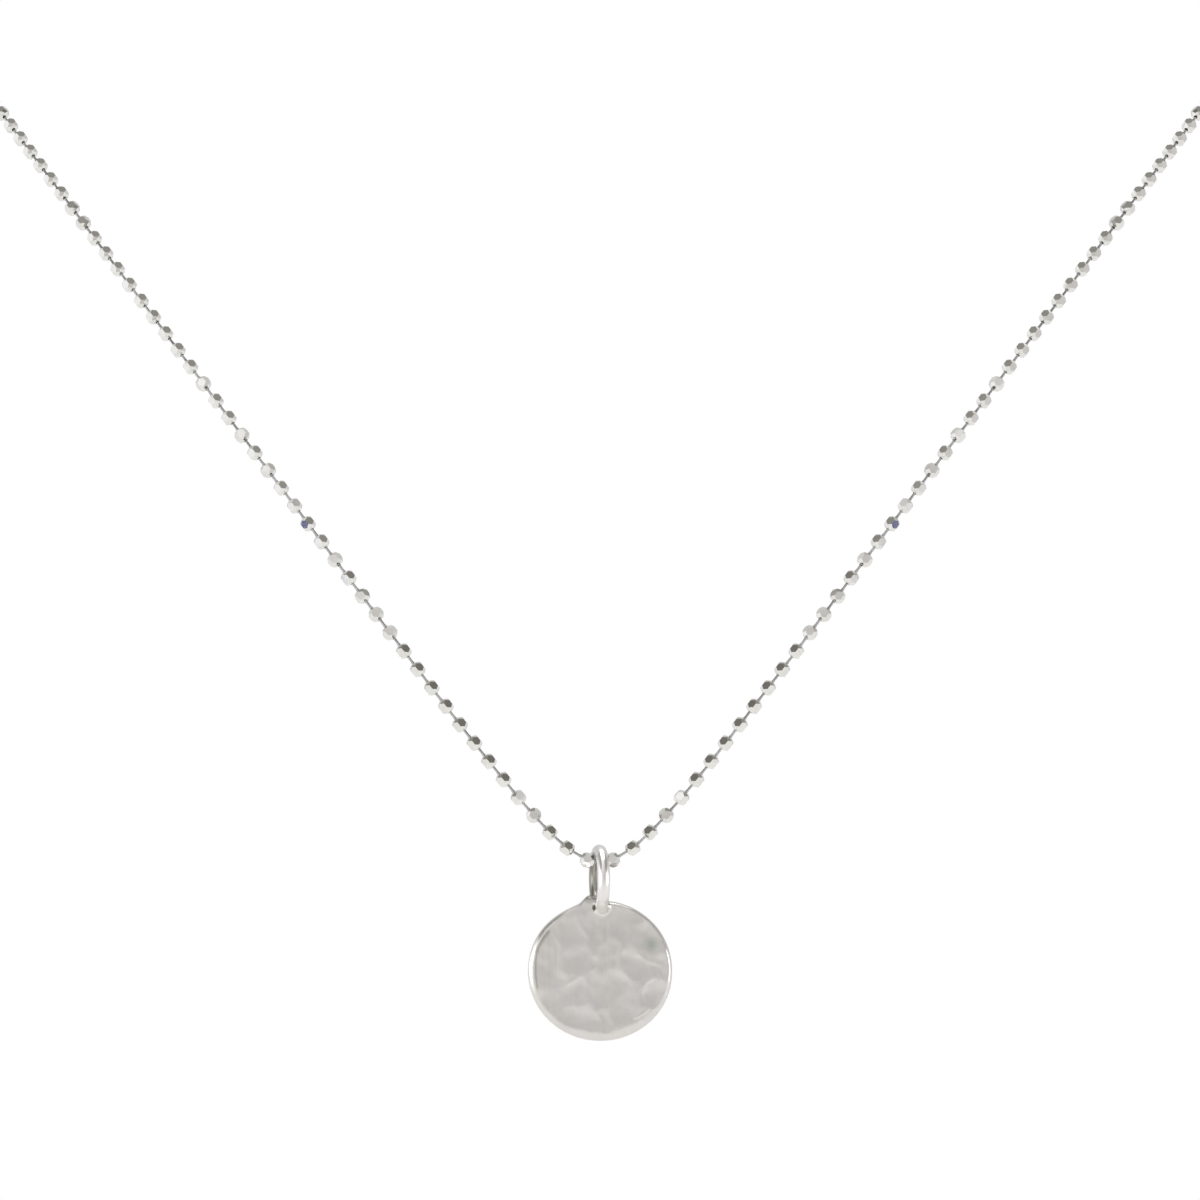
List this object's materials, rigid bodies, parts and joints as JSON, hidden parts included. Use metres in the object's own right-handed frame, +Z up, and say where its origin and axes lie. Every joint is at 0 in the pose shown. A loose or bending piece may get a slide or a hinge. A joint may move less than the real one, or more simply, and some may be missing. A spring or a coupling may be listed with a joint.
{
  "type": "disc pendant necklace",
  "caption": "Hammered silver disc pendant on a soldered round wire bail, hung on a closed chain of faceted beads joined by short wire links.",
  "frame": {"origin": "middle of the clasp at the nape, where the worn chain rests on the back of the neck", "axes": "+Z up, +X to the right as seen from the front, -Y from the nape through the neck towards the pendant and the viewer"},
  "size_m": [0.1252, 0.126, 0.1179],
  "materials": {
    "hammered_silver": "hammered sterling silver, softly polished on the disc and bright on the bail",
    "bead_silver": "bright diamond-cut sterling silver",
    "link_wire": "drawn silver wire, slightly dull",
    "clasp_silver": "plain polished silver"
  },
  "bodies": {
    "chain": {"beads_left": "bead_silver", "beads_right": "bead_silver", "links": "link_wire", "clasp": "clasp_silver"},
    "pendant": {"pendant": "hammered_silver"}
  },
  "joints": [
    {"name": "pendant_swing", "type": "hinge", "parent": "chain", "child": "pendant", "pos_m": [0, -0.12199, -0.10181], "axis": [1, 0, 0], "range_deg": [-90, 90]}
  ]
}
